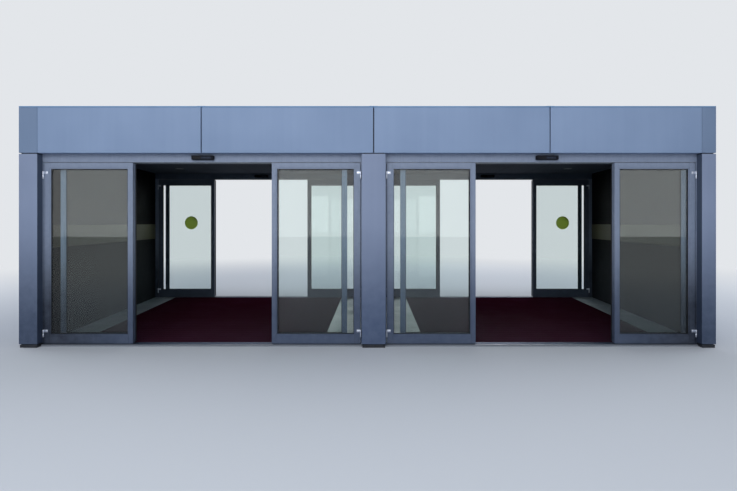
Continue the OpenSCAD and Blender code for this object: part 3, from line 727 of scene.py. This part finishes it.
SHEET_W = 1.05
LAP_HALF = 0.03
LAP_T = 0.003
UPSTAND_H = 0.085
OUTLET_X = 2.6
OUTLET_SET = 0.42   # from the front upstand
GUARD_BARS = 16
deck_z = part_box("roof_deck")[1].z
roof_y0, roof_y1 = pier_back_y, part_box("back_beam")[0].y
bm = bmesh.new()
# Welded laps of the sheets, 60 mm wide
half_count = int(2 * (wall_x(roof_y1) + LINING_T) / SHEET_W) // 2
for k in range(-half_count, half_count + 1):
    x = k * SHEET_W
    if abs(x) < wall_x(roof_y0) - 0.1:
        box(bm, (x - LAP_HALF, x + LAP_HALF), (roof_y0 + 0.004, roof_y1 - 0.004), (deck_z, deck_z + LAP_T),
            0.0012)
# Upstands against the parapet, each a 4 mm sheet with a 9 mm pressed bar along its top
upstand_z = deck_z + UPSTAND_H
upstand_parts = ((0.004, (deck_z, upstand_z), 0), (0.009, (upstand_z - 0.02, upstand_z - 0.004), 1))
for side in SIDES:
    face_x = wall_face_x + LINING_T
    for depth, zs, finish in upstand_parts:
        box(bm, outwards(side, face_x - depth, face_x), (roof_y0, roof_y1), zs, TRIM_R,
            shape=along_wall(side), finish=finish)
for y, way in ((roof_y0, 1), (roof_y1, -1)):
    half = wall_x(y) + LINING_T
    for depth, zs, finish in upstand_parts:
        box(bm, (-half, half), (y, y + way * depth), zs, TRIM_R, finish=finish)
# Two outlets: a clamping ring, a sump and a slatted leaf guard
for x in (-OUTLET_X, OUTLET_X):
    centre = Vector((x, roof_y0 + OUTLET_SET, deck_z))
    for z0, z1, radius, end_radius, rim, finish in ((0.0, 0.006, 0.11, 0.11, 0.002, 1),
                                                    (0.005, 0.012, 0.062, 0.056, 0.001, 2),
                                                    (0.058, 0.068, 0.058, 0.048, 0.002, 2)):
        rod(bm, centre + Vector((0, 0, z0)), centre + Vector((0, 0, z1)), radius, end_radius, rim, 32,
            finish)
    for k in range(GUARD_BARS):
        turn = Matrix.Translation(centre) @ Matrix.Rotation(k * math.tau / GUARD_BARS, 4, "Z")
        box(bm, (0.046, 0.056), (-0.003, 0.003), (0.010, 0.060), TRIM_R, shape=turn, finish=2)
piece("roof_covering", bm, [membrane, scraper, abs_black], "lobby")


# Floor

# Mats: carpet strips between aluminium scraper bars, on a dark base, inside an aluminium frame
EDGE_W = 0.005              # frame round a mat
RIB_SET = 0.007             # from the edge of a mat in to its ribs
STRIP_Y = (0.003, 0.031)    # carpet strip and scraper bar, within one pitch
BAR_Y = (0.033, 0.038)
mat_low, mat_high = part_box("entrance_mats")
mat_x = MIDDLE_STRIP / 2 + MAT_GAP
mat_outer_x = wall_face_x - BORDER_W - MAT_GAP
mat_zs = (mat_low.z, mat_high.z)
base_top = mat_low.z + 0.003
ribs = int((mat_high.y - mat_low.y - 0.012) / RIB_PITCH)
rib_start = (mat_low.y + mat_high.y - ribs * RIB_PITCH) / 2


def mat_far_x(y):
    """Distance from the middle to the outer edge of the right mat."""
    return wall_x(y) - BORDER_W - MAT_GAP


bm = bmesh.new()
for side in SIDES:
    for k in range(ribs):
        y = rib_start + k * RIB_PITCH
        xs = outwards(side, mat_x + RIB_SET, mat_far_x(y) - RIB_SET)
        box(bm, xs, (y + STRIP_Y[0], y + STRIP_Y[1]), (base_top, mat_high.z), 0.002)
        box(bm, xs, (y + BAR_Y[0], y + BAR_Y[1]), (base_top, mat_high.z - 0.0015), finish=1)
    # Base and the frame round it
    box(bm, outwards(side, mat_x + EDGE_W, mat_outer_x - EDGE_W), (mat_low.y + 0.003, mat_high.y - 0.003),
        (mat_low.z, base_top), finish=2)
    box(bm, outwards(side, mat_x, mat_x + EDGE_W), (mat_low.y, mat_high.y), mat_zs, TRIM_R, finish=1)
    box(bm, outwards(side, mat_outer_x - EDGE_W, mat_outer_x), (mat_low.y, mat_high.y), mat_zs, TRIM_R,
        shape=along_wall(side), finish=1)
    for y in (mat_low.y, mat_high.y - EDGE_W):
        box(bm, outwards(side, mat_x + EDGE_W, mat_far_x(y) - EDGE_W), (y, y + EDGE_W), mat_zs, TRIM_R,
            finish=1)
piece("ribbed_mats", bm, [carpet, scraper, gasket], "lobby", ["entrance_mats"])

# Thresholds: a tread plate with low ribs
TREAD_RIBS = 9
TREAD_PITCH = 0.0118
TREAD_RIB_W = 0.006
TREAD_RIB_H = 0.002
tread_low, tread_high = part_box("thresholds")
bm = bmesh.new()
for name in SCREENS:
    y0 = tread_low.y if name == "front" else tread_high.y - TREAD_D
    for side in SIDES:
        xs = outwards(side, pier_face_x, side_pier_x[side] if name == "front" else wall_x(y0))
        box(bm, xs, (y0, y0 + TREAD_D), (tread_low.z, tread_high.z - TREAD_RIB_H))
        for k in range(TREAD_RIBS):
            y = y0 + TREAD_RIB_W + k * TREAD_PITCH
            box(bm, xs, (y, y + TREAD_RIB_W), (tread_high.z - TREAD_RIB_H - 0.0002, tread_high.z), 0.0008)
piece("threshold_treads", bm, [tread_metal], "lobby", ["thresholds"])


# Lobby fittings

# Bump rails on the linings, with rounded edges, an end cap and a joint cap
CAP_W = 0.004
CAP_LIP = 0.0005
CAP_GAP = 1.85      # from the end cap to the joint cap
band_low, band_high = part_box("wall_bands")
bm = bmesh.new()
for side in SIDES:
    lean = along_wall(side)
    low_x, high_x = sorted(outwards(side, wall_face_x - BAND_T, wall_face_x))
    box(bm, (low_x, high_x), (band_low.y + 0.003, band_high.y - 0.001), (band_low.z, band_high.z), 0.0025, 3,
        lean)
    for y in (band_low.y, band_low.y + CAP_GAP):
        box(bm, (low_x - CAP_LIP, high_x + CAP_LIP), (y, y + CAP_W),
            (band_low.z - CAP_LIP, band_high.z + CAP_LIP), TRIM_R, shape=lean, finish=1)
piece("bump_rails", bm, [band_pvc, abs_black], "lobby", ["wall_bands"])

# Downlights: a turned rim with a diffuser set a little back in it
light_low, light_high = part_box("downlights")
rim_outline = [(LIGHT_R, 0.0), (LIGHT_R, -0.003), (LIGHT_R - 0.002, -0.0055), (LIGHT_R - 0.006, -0.006),
               (LIGHT_R - 0.012, -0.0045), (LIGHT_R - 0.016, -0.0015), (LIGHT_R - 0.016, 0.0)]
bm = bmesh.new()
for x in [side * doorway_x["back"] + dx for side in SIDES for dx in (-LIGHT_DX, LIGHT_DX)]:
    for y in (light_low.y + LIGHT_R, light_high.y - LIGHT_R):
        centre = Vector((x, y, light_high.z))
        verts = [bm.verts.new(centre + Vector((r, 0, z))) for r, z in rim_outline]
        edges = [bm.edges.new(pair) for pair in zip(verts, verts[1:])]
        bmesh.ops.spin(bm, geom=verts + edges, cent=centre, axis=(0, 0, 1), steps=40, angle=math.tau,
                       use_merge=True, use_duplicate=False)
        rod(bm, centre - Vector((0, 0, 0.0025)), centre, LIGHT_R - 0.015, segments=40, finish=1)
bmesh.ops.remove_doubles(bm, verts=bm.verts, dist=TOUCH)
piece("downlight_rims", bm, [rim_plastic, diffuser], "lobby", ["downlights"])


def runs_inwards(edge):
    """True for an edge that runs from the front to the back of a sensor."""
    return abs((edge.verts[1].co - edge.verts[0].co).y) > SENSOR_D / 2


# Motion sensors: a black housing with a smoked window and a slatted grille, over each doorway
GRILLE_SLATS = 7
GRILLE_PITCH = 0.0165
SLAT_W = 0.009
sensor_low, sensor_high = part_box("motion_sensors")
sensor_back_y = {"front": sensor_low.y + SENSOR_D, "back": sensor_high.y}
bm = bmesh.new()
for name in SCREENS:
    front = sensor_back_y[name] - SENSOR_D
    face_ys = (front - 0.0004, front + 0.002)
    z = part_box(f"{name}_headers")[0].z + HEADER_H[name] / 2
    for side in SIDES:
        x = side * doorway_x[name] + SENSOR_SET
        box(bm, (x - SENSOR_W / 2, x + SENSOR_W / 2), (front, sensor_back_y[name]),
            (z - SENSOR_H / 2, z + SENSOR_H / 2), 0.008, 4, pick=runs_inwards)
        box(bm, (x - 0.112, x - 0.022), face_ys, (z - 0.016, z + 0.014), TRIM_R, finish=1)
        for k in range(GRILLE_SLATS):
            x0 = x - 0.010 + k * GRILLE_PITCH
            box(bm, (x0, x0 + SLAT_W), face_ys, (z - 0.014, z + 0.012), TRIM_R, finish=2)
piece("sensor_housings", bm, [abs_black, smoked, grille_plastic], "lobby", ["motion_sensors"])

# Header trim: brush strips beside the running slots, and pale plates of painted light and cover screws on the
# front headers
SCREWS = 6
SCREW_SET = 0.10    # from the ends of a header
bm = bmesh.new()
for name in SCREENS:
    header_low, header_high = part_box(f"{name}_headers")
    screen_y, foot_z = header_low.y, header_low.z
    slot_y = screen_y + PANEL_T + LEAF_GAP + LEAF_T / 2
    slot_y0, slot_y1 = slot_y - SLOT_W / 2, slot_y + SLOT_W / 2
    for side in SIDES:
        far = (side_pier_x[side] if name == "front" else wall_x(screen_y)) - JAMB_W[name]
        low_x, high_x = sorted(outwards(side, pier_face_x + JAMB_W[name], far))
        if name == "front":
            # Pale plates under the front headers: painted light on their undersides
            for ys in ((screen_y + 0.001, slot_y0 - 0.010), (slot_y1 + 0.010, header_high.y - 0.001)):
                box(bm, (low_x, high_x), ys, (foot_z - 0.0015, foot_z + 0.002), 0.0006, finish=3)
        for y in (slot_y0 - 0.008, slot_y1 + 0.003):
            box(bm, (low_x, high_x), (y, y + 0.005), (foot_z - 0.0045, foot_z + 0.002), finish=1)
        if name == "front":
            y, z = screen_y + HEADER_D, header_high.z - 0.015
            for k in range(SCREWS):
                x = low_x + SCREW_SET + k * (high_x - low_x - 2 * SCREW_SET) / (SCREWS - 1)
                rod(bm, (x, y - 0.001, z), (x, y + 0.0015, z), 0.0045, rim=0.0006, segments=16, finish=2)
piece("header_trim", bm, [profile, brush, stainless, lit_cover_profile], "lobby")


# Door packs: a framed side panel on two hinges, and a framed leaf that slides on it

SEAL_W = 0.006
SEAL_LIP = 0.001            # how far a seal reaches under its bead
SEAL_SET = BEAD_SET + 0.002
SCREW_R = 0.0028
PIN_END_R = 0.0075
BRUSH_SET = (0.018, 0.026)  # foot brush, from the face of a side panel
BRUSH_H = 0.006


def frame_bars(bm, xs, ys, zs, opening, groove, depth):
    """Adds the stiles, rails and glazing beads of one frame; groove and depth are the width and depth of the
    running groove along its foot and head."""
    near_y, far_y = ys
    cut_near, cut_far = (near_y + far_y - groove) / 2, (near_y + far_y + groove) / 2
    (x0, x1), (z0, z1) = opening

    def outline(low, high, at_foot=True, at_head=True):
        """Gives the (y, z) outline of a stile or rail, grooved where it is at the foot or head."""
        points = [(far_y, low)]
        if groove and at_foot:
            points += [(cut_far, low), (cut_far, low + depth), (cut_near, low + depth), (cut_near, low)]
        points += [(near_y, low), (near_y, high)]
        if groove and at_head:
            points += [(cut_near, high), (cut_near, high - depth), (cut_far, high - depth), (cut_far, high)]
        return points + [(far_y, high)]

    for low, high in ((xs[0], x0), (x1, xs[1])):
        bar(bm, outline(*zs), low, high, 0.0018)
    seam = 0.0004
    bar(bm, outline(zs[0], z0, at_head=False), x0 + seam, x1 - seam, 0.0012)
    bar(bm, outline(z1, zs[1], at_foot=False), x0 + seam, x1 - seam, 0.0012)
    ring(bm, (x0, x1), (near_y + BEAD_SET, far_y - BEAD_SET), (z0, z1), BEAD_W, 0.0015)


def glazed_frame(body, pane, finish, xs, ys, zs, groove=0.0, depth=0.0):
    """Makes the frame of a panel or leaf, and starts a mesh with the rubber seals of its glass."""
    pane_low, pane_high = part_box(pane)
    sight = ((pane_low.x + REBATE, pane_high.x - REBATE), (pane_low.z + REBATE, pane_high.z - REBATE))
    opening = [(low - BEAD_W, high + BEAD_W) for low, high in sight]
    bm = bmesh.new()
    frame_bars(bm, xs, ys, zs, opening, groove, depth)
    piece(f"{body}_frame", bm, [finish], body, [body])
    seals = bmesh.new()
    seal_xs, seal_zs = [(low - SEAL_LIP, high + SEAL_LIP) for low, high in sight]
    for seal_ys in ((ys[0] + SEAL_SET, pane_low.y), (pane_high.y, ys[1] - SEAL_SET)):
        ring(seals, seal_xs, seal_ys, seal_zs, SEAL_W, TRIM_R)
    return seals


def hinge_half(bm, pin, z0, z1, flap_z0, way, flap_w, screws):
    """Adds one half of a hinge: a knuckle, its neck, and a flap with screws; way is 1 towards +X."""
    face_y = pin.y + HINGE_SET
    flap_x = pin.x + way * HINGE_GAP / 2
    rod(bm, (pin.x, pin.y, z0), (pin.x, pin.y, z1), KNUCKLE_R, rim=0.0012, segments=28)
    box(bm, (flap_x, pin.x + way * KNUCKLE_R), (pin.y, face_y - 0.0005), (flap_z0 + 0.001, z1 - 0.001))
    box(bm, (flap_x, flap_x + way * flap_w), (face_y - FLAP_T, face_y - 0.0002), (flap_z0, z1), 0.0015, 2)
    for along, up in screws:
        x, z = flap_x + way * along, flap_z0 + up
        rod(bm, (x, face_y - FLAP_T - 0.0008, z), (x, face_y - FLAP_T + 0.001, z), SCREW_R, rim=0.0005,
            segments=14)


def pin_end(bm, pin, z, way):
    """Adds the domed end of a hinge pin; way is 1 upwards."""
    rod(bm, (pin.x, pin.y, z - way * 0.0005), (pin.x, pin.y, z + way * 0.003), PIN_END_R, 0.004, 0.0008, 20)


fixed_hinges = bmesh.new()
for name in SCREENS:
    for i in PACKS:
        side = 1 if i % 2 else -1
        panel, leaf = f"{name}_panel_{i}", f"{name}_leaf_{i}"
        pin = hinges[panel]
        panel_low, panel_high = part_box(panel)
        leaf_low, leaf_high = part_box(leaf)
        edge_x = pin.x + side * HINGE_GAP / 2
        screen_y = pin.y + HINGE_SET
        z0, z1 = panel_low.z, panel_high.z

        # Side panel: frame, seals, foot brush
        x0, x1 = (edge_x, panel_high.x) if side > 0 else (panel_low.x, edge_x)
        bm = glazed_frame(panel, f"{name}_panel_glass_{i}", screen_finish[name], (x0, x1),
                          (screen_y, screen_y + PANEL_T), (z0, z1))
        box(bm, (x0 + 0.004, x1 - 0.004), (screen_y + BRUSH_SET[0], screen_y + BRUSH_SET[1]),
            (z0 - BRUSH_H, z0 + 0.002), finish=1)
        piece(f"{panel}_seals", bm, [gasket, brush], panel)

        # Guides and the turning hinge halves
        bm = bmesh.new()
        guide_x = (panel_high.x if side > 0 else panel_low.x) - side * (LEAF_LAP - GUIDE_L) / 2
        guide_xs = (guide_x - side * GUIDE_L, guide_x)
        mid_y = screen_y + PANEL_T + LEAF_GAP + LEAF_T / 2
        tongue_y0, tongue_y1 = mid_y - TONGUE_T / 2, mid_y + TONGUE_T / 2
        for z, way in ((z0, 1), (z1, -1)):
            box(bm, guide_xs, (screen_y + PANEL_T - 0.001, tongue_y1), (z, z + way * GUIDE_T), TRIM_R)
            box(bm, guide_xs, (tongue_y0, tongue_y1),
                (z + way * GUIDE_T / 2, z + way * (GUIDE_T + TONGUE_H)), 0.0015, 2)
        half = (HINGE_H - HINGE_SPLIT) / 2
        for foot in (z0 + HINGE_FOOT, z1 - HINGE_HEAD - HINGE_H):
            top = foot + HINGE_H
            hinge_half(bm, pin, top - half, top, top - FLAP_H, side, FLAP_W,
                       ((0.018, FLAP_H / 2), (0.038, FLAP_H / 2)))
            hinge_half(fixed_hinges, pin, foot, foot + half, foot, -side, JAMB_FLAP_W,
                       ((0.0045, 0.010), (0.0045, half - 0.010)))
            pin_end(bm, pin, top, 1)
            pin_end(fixed_hinges, pin, foot, -1)
        piece(f"{panel}_fittings", bm, [stainless], panel)

        # Sliding leaf: frame with its running grooves, seals and the rubber nose of its leading edge
        y0, y1 = leaf_low.y, leaf_high.y
        bm = glazed_frame(leaf, f"{name}_leaf_glass_{i}", screen_finish[name], (leaf_low.x, leaf_high.x),
                          (y0, y1), (leaf_low.z, leaf_high.z), TONGUE_T + 2 * GUIDE_GAP, TONGUE_H)
        lead_x = leaf_high.x if side > 0 else leaf_low.x
        box(bm, (lead_x - side * 0.001, lead_x + side * 0.004), (y0 + 0.008, y1 - 0.008),
            (leaf_low.z + 0.004, leaf_high.z - 0.004), 0.0015, 2)
        piece(f"{leaf}_seals", bm, [gasket], leaf)
piece("fixed_hinge_halves", fixed_hinges, [stainless], "lobby", ["door_hinges"])

# Round green markers on the glass of the outer back panels
MARKER_Z = 1.52
MARKER_R = 0.131
for i, x in ((1, -3.68), (4, 3.81)):
    glass_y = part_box(f"back_panel_glass_{i}")[0].y
    bm = bmesh.new()
    rod(bm, (x, glass_y, MARKER_Z), (x, glass_y - 0.0006, MARKER_Z), MARKER_R, rim=0.0002, segments=64)
    piece(f"glass_marker_{i}", bm, [vinyl], f"back_panel_{i}")


# Floor, light and camera

BACKDROP = "#e3e6ea"
DIM_SURROUND = "#5c6169"    # what the surroundings give the object in place of the backdrop


def shown_to_lens(tree):
    """Gives 1 to what the camera sees, also in a gloss or through glass, and 0 to what lights the object."""
    path = add(tree, "LightPath").outputs
    seen = path["Is Camera Ray"]
    for other in ("Is Glossy Ray", "Is Transmission Ray"):
        seen = add(tree, "Math", {0: seen, 1: path[other]}, operation="MAXIMUM")
    return seen


floor_finish, tree, shader, place = begin("pale_studio_floor", "#c2c7ce", 0.85, Specular_IOR_Level=0.1)
# The floor turns into the backdrop between 6 m and 15 m from the middle
reach = add(tree, "VectorMath", {0: place}, operation="LENGTH")
fade = add(tree, "MapRange", {"Value": reach, "From Min": 6.0, "From Max": 15.0},
           interpolation_type="SMOOTHSTEP")
glow = add(tree, "Emission", {"Color": patterned(tree, DIM_SURROUND, BACKDROP, shown_to_lens(tree))})
mixed = add(tree, "MixShader", {0: fade, 1: shader, 2: glow})
feed(tree, tree.nodes["Material Output"].inputs["Surface"], mixed)
bm = bmesh.new()
bmesh.ops.create_circle(bm, cap_ends=True, segments=96, radius=27.0)
mesh = bpy.data.meshes.new("studio_floor")
bm.to_mesh(mesh)
bm.free()
mesh.materials.append(floor_finish)
studio_floor = bpy.data.objects.new("studio_floor", mesh)
bpy.context.scene.collection.objects.link(studio_floor)

world = bpy.data.worlds.new("studio")
bpy.context.scene.world = world
world.use_nodes = True
tree = world.node_tree
way = add(tree, "TexCoord").outputs["Generated"]
rise = add(tree, "SeparateXYZ", {0: way}).outputs["Z"]
ambient = patterned(tree, DIM_SURROUND, "#aeb4be", rise, -0.1, 0.7)
shown = patterned(tree, ambient, BACKDROP, shown_to_lens(tree))
feed(tree, tree.nodes["Background"].inputs["Color"], shown)


def softbox(name, place, target, size, power):
    """Adds a large soft lamp that the camera doesn't see."""
    lamp = bpy.data.lights.new(name, "AREA")
    lamp.shape = "RECTANGLE"
    lamp.size, lamp.size_y = size
    lamp.energy = power
    made = bpy.data.objects.new(name, lamp)
    made.location = place
    made.rotation_euler = (Vector(target) - Vector(place)).to_track_quat("-Z", "Y").to_euler()
    made.visible_camera = False
    bpy.context.scene.collection.objects.link(made)


softbox("key_softbox", (-2.0, -12.5, 6.2), (0, -2.0, 1.8), (11.0, 4.5), 690)
softbox("low_softbox", (0, -12.5, 2.4), (0, 0, 2.4), (26.0, 2.7), 290)
softbox("top_softbox", (3.0, 1.0, 11.0), (0, 0, 2.0), (9.0, 9.0), 260)
softbox("back_softbox", (2.0, 12.0, 6.0), (0, 2.0, 1.6), (11.0, 4.0), 420)
softbox("left_softbox", (-13.0, 2.5, 5.0), (-4.5, 1.5, 1.4), (7.0, 4.0), 330)
softbox("right_softbox", (13.0, 2.5, 5.0), (4.5, 1.5, 1.4), (7.0, 4.0), 330)

# Lens and place of the camera, from the vanishing point of the photograph at pixel (373.7, 222.8)
IMAGE_W, IMAGE_H = 737, 491
FOCAL_PX = 500.0
VANISH_X, VANISH_Y = 373.7, 222.8
CAMERA_Y = -8.173
CAMERA_Z = 1.52
camera = bpy.data.cameras.new("camera")
camera.sensor_width = 36.0
camera.lens = FOCAL_PX / IMAGE_W * camera.sensor_width
camera.shift_x = -(VANISH_X - IMAGE_W / 2) / IMAGE_W
camera.shift_y = (VANISH_Y - IMAGE_H / 2) / IMAGE_W
camera_object = bpy.data.objects.new("camera", camera)
camera_object.location = (0.0, CAMERA_Y, CAMERA_Z)
camera_object.rotation_euler = (math.radians(90), 0, 0)
bpy.context.scene.collection.objects.link(camera_object)
bpy.context.scene.camera = camera_object
bpy.context.scene.view_settings.view_transform = "Standard"
